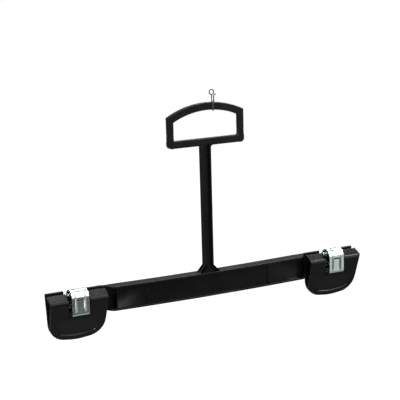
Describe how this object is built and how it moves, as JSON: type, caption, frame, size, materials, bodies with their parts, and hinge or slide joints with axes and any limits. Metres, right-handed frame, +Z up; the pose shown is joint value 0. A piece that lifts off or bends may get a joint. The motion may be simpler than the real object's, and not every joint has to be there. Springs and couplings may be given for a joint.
{
  "type": "trouser hanger",
  "caption": "Black moulded trouser hanger: an I-section bar and stem under a closed hanging loop, with a sprung clip at each end of the bar and a small wire eye on the loop",
  "frame": {"origin": "middle of the underside of the hanging loop's crown, where a rail carries the hanger", "axes": "+Z up along the stem, +X along the bar towards the right clip, -Y towards the front jaws"},
  "size_m": [0.3598, 0.0229, 0.2386],
  "materials": {
    "moulding": "satin black moulding",
    "loop": "satin black moulding",
    "jaw_left": "satin black moulding",
    "jaw_right": "satin black moulding",
    "spring_left": "bright rolled spring steel",
    "spring_right": "bright rolled spring steel",
    "wire": "dull grey wire"
  },
  "bodies": {
    "hanger": {"frame": "moulding", "loop_arch": "loop", "left_spring": "spring_left", "right_spring": "spring_right", "hanging_eye": "wire"},
    "left_jaw": {"left_front_jaw": "jaw_left"},
    "right_jaw": {"right_front_jaw": "jaw_right"}
  },
  "joints": [
    {"name": "left_clip", "type": "hinge", "parent": "hanger", "child": "left_jaw", "pos_m": [-0.1487, -0.0005, -0.18282], "axis": [-1, 0, 0], "range_deg": [0, 14], "stiffness_Nm_per_rad": 0.8, "springref_deg": -20.05, "deforming": ["left_spring"]},
    {"name": "right_clip", "type": "hinge", "parent": "hanger", "child": "right_jaw", "pos_m": [0.1487, -0.0005, -0.18282], "axis": [-1, 0, 0], "range_deg": [0, 14], "stiffness_Nm_per_rad": 0.8, "springref_deg": -20.05, "deforming": ["right_spring"]}
  ]
}
